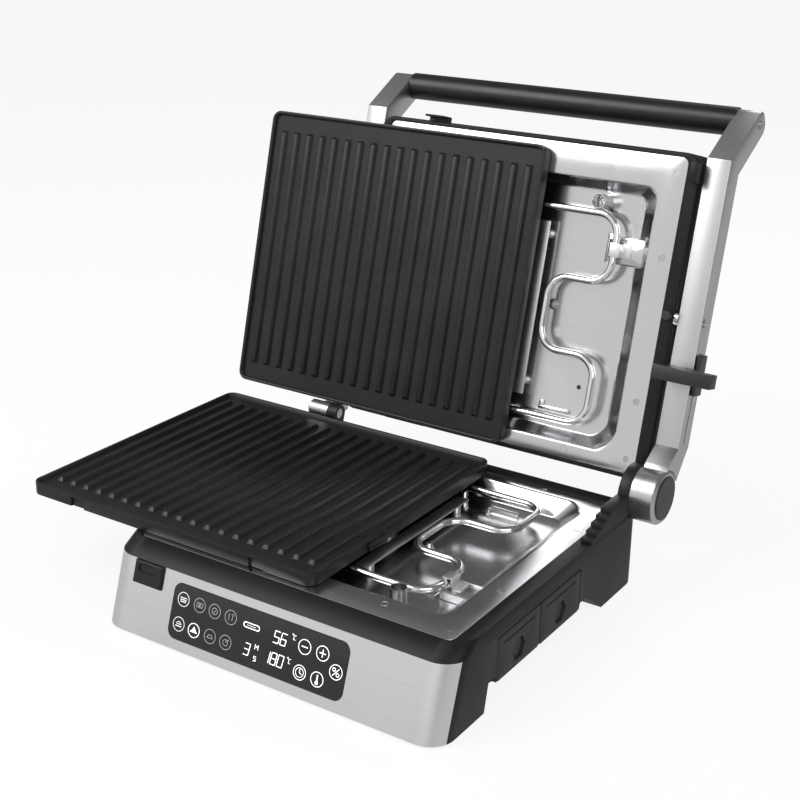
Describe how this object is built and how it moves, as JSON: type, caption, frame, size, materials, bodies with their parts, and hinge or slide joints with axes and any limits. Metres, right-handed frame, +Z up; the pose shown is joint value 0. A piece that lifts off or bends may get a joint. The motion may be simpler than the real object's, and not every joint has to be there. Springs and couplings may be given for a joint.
{
  "type": "electric contact grill",
  "caption": "Electric contact grill with a lid that opens flat, ribbed lift-off plates, serpentine heaters in bright pans, side drip trays and a touch panel.",
  "frame": {"origin": "on the table, under the middle of the whole grill with its lid open and its plates slid out", "axes": "+X to the right seen from the front, +Y to the back, +Z up"},
  "size_m": [0.494, 0.4786, 0.3927],
  "materials": {
    "black_plastic": "satin moulded",
    "black_handle": "satin",
    "brushed_panel": "brushed",
    "brushed_arm": "brushed",
    "bright_pan": "bright",
    "chrome_tube": "polished",
    "polished_barrel": "turned",
    "plate_coating": "non-stick",
    "glass_black": "gloss",
    "board_green": "lacquered",
    "dark_cap": "satin",
    "pin_steel": "plain",
    "black_rubber": "matt"
  },
  "bodies": {
    "base": {"base_housing": "black_plastic", "base_top_frame": "black_plastic", "front_panel": "brushed_panel", "control_glass": "glass_black", "control_board": "board_green", "power_board": "board_green", "base_reflector_pan": "bright_pan", "base_heating_element": "chrome_tube", "base_element_straps": "bright_pan", "base_element_clips": "bright_pan", "base_thermostat": "pin_steel", "base_pan_screws": "pin_steel", "right_hinge_bracket": "black_plastic", "left_hinge_bracket": "black_plastic", "hinge_pins": "pin_steel", "rubber_feet": "black_rubber", "base_screws": "pin_steel", "cord_gland": "black_rubber"},
    "plate_button": {"base_release_button": "black_plastic"},
    "front_tray": {"front_drip_tray": "black_plastic"},
    "rear_tray": {"rear_drip_tray": "black_plastic"},
    "lower_plate": {"lower_grill_plate": "plate_coating"},
    "arms": {"right_arm": "brushed_arm", "left_arm": "brushed_arm", "right_hinge_barrel": "polished_barrel", "left_hinge_barrel": "polished_barrel", "right_hinge_cap": "dark_cap", "left_hinge_cap": "dark_cap", "handle_bar": "black_handle", "handle_screws": "pin_steel", "pivot_pins": "pin_steel"},
    "selector": {"height_selector": "black_plastic"},
    "lid": {"lid_frame": "black_plastic", "lid_cover": "black_plastic", "lid_top_plate": "brushed_panel", "lid_reflector_pan": "bright_pan", "lid_heating_element": "chrome_tube", "lid_element_straps": "bright_pan", "lid_element_clips": "bright_pan", "lid_thermostat": "pin_steel", "lid_pan_screws": "pin_steel"},
    "lid_button": {"lid_release_button": "black_plastic"},
    "upper_plate": {"upper_grill_plate": "plate_coating"}
  },
  "joints": [
    {"name": "lid_hinge", "type": "hinge", "parent": "base", "child": "arms", "pos_m": [0.035, 0.0847, 0.0844], "axis": [-1, 0, 0], "range_deg": [-104.4, 75.6]},
    {"name": "lid_tilt", "type": "hinge", "parent": "arms", "child": "lid", "pos_m": [0.035, 0.13905, 0.22531], "axis": [1, 0, 0], "range_deg": [0, 4]},
    {"name": "selector_slide", "type": "slide", "parent": "arms", "child": "selector", "axis": [0, -0.2487, -0.9686], "range_m": [0, 0.048]},
    {"name": "lower_plate_lift_off", "type": "slide", "parent": "base", "child": "lower_plate", "axis": [1, 0, 0], "range_m": [0, 0.13]},
    {"name": "upper_plate_lift_off", "type": "slide", "parent": "lid", "child": "upper_plate", "axis": [1, 0, 0], "range_m": [0, 0.13]},
    {"name": "front_tray_slide", "type": "slide", "parent": "base", "child": "front_tray", "axis": [1, 0, 0], "range_m": [0, 0.17]},
    {"name": "rear_tray_slide", "type": "slide", "parent": "base", "child": "rear_tray", "axis": [1, 0, 0], "range_m": [0, 0.17]},
    {"name": "plate_button_press", "type": "slide", "parent": "base", "child": "plate_button", "axis": [0, 0.9503, -0.3113], "range_m": [0, 0.003], "stiffness_N_per_m": 600, "springref_m": -0.002},
    {"name": "lid_button_press", "type": "slide", "parent": "lid", "child": "lid_button", "axis": [0, -0.2487, -0.9686], "range_m": [0, 0.003], "stiffness_N_per_m": 600, "springref_m": -0.002}
  ]
}
